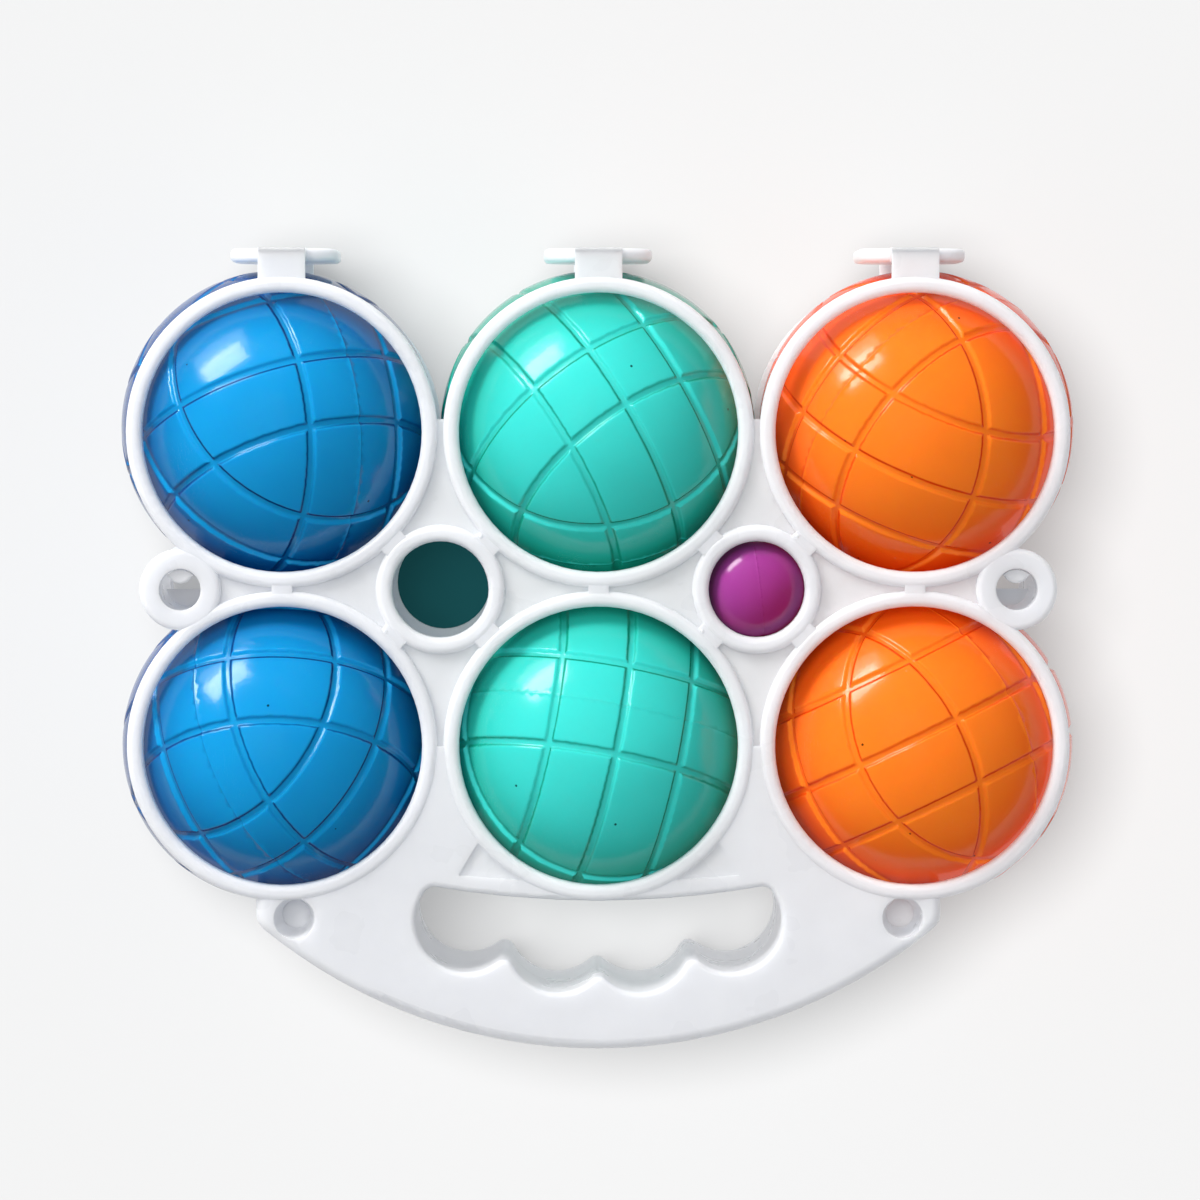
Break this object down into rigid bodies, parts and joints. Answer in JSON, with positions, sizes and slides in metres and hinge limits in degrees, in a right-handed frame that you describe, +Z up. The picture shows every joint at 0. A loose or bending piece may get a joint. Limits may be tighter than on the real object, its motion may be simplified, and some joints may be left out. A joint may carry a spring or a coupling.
{
  "type": "bocce ball set",
  "caption": "Lawn bowling balls and a small target ball held between two hinged white ring shells with feet, side latches and a finger-grip handle.",
  "frame": {"origin": "centre of the set's footprint, at the surface that the balls rest on", "axes": "+Z up from the back shell to the front shell, +Y from the handle to the feet, +X to the right"},
  "size_m": [0.2272, 0.1886, 0.075],
  "materials": {
    "carrier_plastic": "gloss",
    "blue_plastic": "gloss",
    "teal_plastic": "gloss",
    "orange_plastic": "gloss",
    "jack_plastic": "gloss",
    "filling": "matte"
  },
  "bodies": {
    "back_shell": {"back_shell": "carrier_plastic"},
    "spine": {"foot_left": "carrier_plastic", "foot_middle": "carrier_plastic", "foot_right": "carrier_plastic", "hinge_films_front": "carrier_plastic", "hinge_films_back": "carrier_plastic"},
    "front_shell": {"front_shell": "carrier_plastic"},
    "latch_left": {"latch_tongue_left": "carrier_plastic"},
    "latch_right": {"latch_tongue_right": "carrier_plastic"},
    "blue_ball_upper": {"blue_ball_upper_shell": "blue_plastic", "blue_ball_upper_filling": "filling", "blue_ball_upper_plug": "blue_plastic"},
    "blue_ball_lower": {"blue_ball_lower_shell": "blue_plastic", "blue_ball_lower_filling": "filling", "blue_ball_lower_plug": "blue_plastic"},
    "teal_ball_upper": {"teal_ball_upper_shell": "teal_plastic", "teal_ball_upper_filling": "filling", "teal_ball_upper_plug": "teal_plastic"},
    "teal_ball_lower": {"teal_ball_lower_shell": "teal_plastic", "teal_ball_lower_filling": "filling", "teal_ball_lower_plug": "teal_plastic"},
    "orange_ball_upper": {"orange_ball_upper_shell": "orange_plastic", "orange_ball_upper_filling": "filling", "orange_ball_upper_plug": "orange_plastic"},
    "orange_ball_lower": {"orange_ball_lower_shell": "orange_plastic", "orange_ball_lower_filling": "filling", "orange_ball_lower_plug": "orange_plastic"},
    "jack": {"jack": "jack_plastic"}
  },
  "joints": [
    {"name": "rear_fold", "type": "hinge", "parent": "back_shell", "child": "spine", "pos_m": [0, 0.0938, 0.013], "axis": [-1, 0, 0], "range_deg": [0, 90]},
    {"name": "front_fold", "type": "hinge", "parent": "spine", "child": "front_shell", "pos_m": [0, 0.0938, 0.062], "axis": [-1, 0, 0], "range_deg": [0, 90]},
    {"name": "latch_left_flex", "type": "hinge", "parent": "back_shell", "child": "latch_left", "pos_m": [-0.0982, 0.0179, 0.0158], "axis": [1, 0, 0], "range_deg": [0, 1.5], "stiffness_Nm_per_rad": 0.6},
    {"name": "latch_right_flex", "type": "hinge", "parent": "back_shell", "child": "latch_right", "pos_m": [0.0982, 0.0179, 0.0158], "axis": [1, 0, 0], "range_deg": [0, 1.5], "stiffness_Nm_per_rad": 0.6},
    {"name": "blue_ball_upper_lift", "type": "slide", "parent": "back_shell", "child": "blue_ball_upper", "axis": [0, 0, 1], "range_m": [0, 0.08]},
    {"name": "blue_ball_lower_lift", "type": "slide", "parent": "back_shell", "child": "blue_ball_lower", "axis": [0, 0, 1], "range_m": [0, 0.08]},
    {"name": "teal_ball_upper_lift", "type": "slide", "parent": "back_shell", "child": "teal_ball_upper", "axis": [0, 0, 1], "range_m": [0, 0.08]},
    {"name": "teal_ball_lower_lift", "type": "slide", "parent": "back_shell", "child": "teal_ball_lower", "axis": [0, 0, 1], "range_m": [0, 0.08]},
    {"name": "orange_ball_upper_lift", "type": "slide", "parent": "back_shell", "child": "orange_ball_upper", "axis": [0, 0, 1], "range_m": [0, 0.08]},
    {"name": "orange_ball_lower_lift", "type": "slide", "parent": "back_shell", "child": "orange_ball_lower", "axis": [0, 0, 1], "range_m": [0, 0.08]},
    {"name": "jack_lift", "type": "slide", "parent": "back_shell", "child": "jack", "axis": [0, 0, 1], "range_m": [0, 0.08]}
  ],
  "couplings": [
    {"joint": "front_fold", "follows": "rear_fold", "ratio": 1},
    {"joint": "blue_ball_upper_lift", "follows": "rear_fold", "m_per_rad": 0.05},
    {"joint": "blue_ball_lower_lift", "follows": "rear_fold", "m_per_rad": 0.05},
    {"joint": "teal_ball_upper_lift", "follows": "rear_fold", "m_per_rad": 0.05},
    {"joint": "teal_ball_lower_lift", "follows": "rear_fold", "m_per_rad": 0.05},
    {"joint": "orange_ball_upper_lift", "follows": "rear_fold", "m_per_rad": 0.05},
    {"joint": "orange_ball_lower_lift", "follows": "rear_fold", "m_per_rad": 0.05},
    {"joint": "jack_lift", "follows": "rear_fold", "m_per_rad": 0.05}
  ]
}
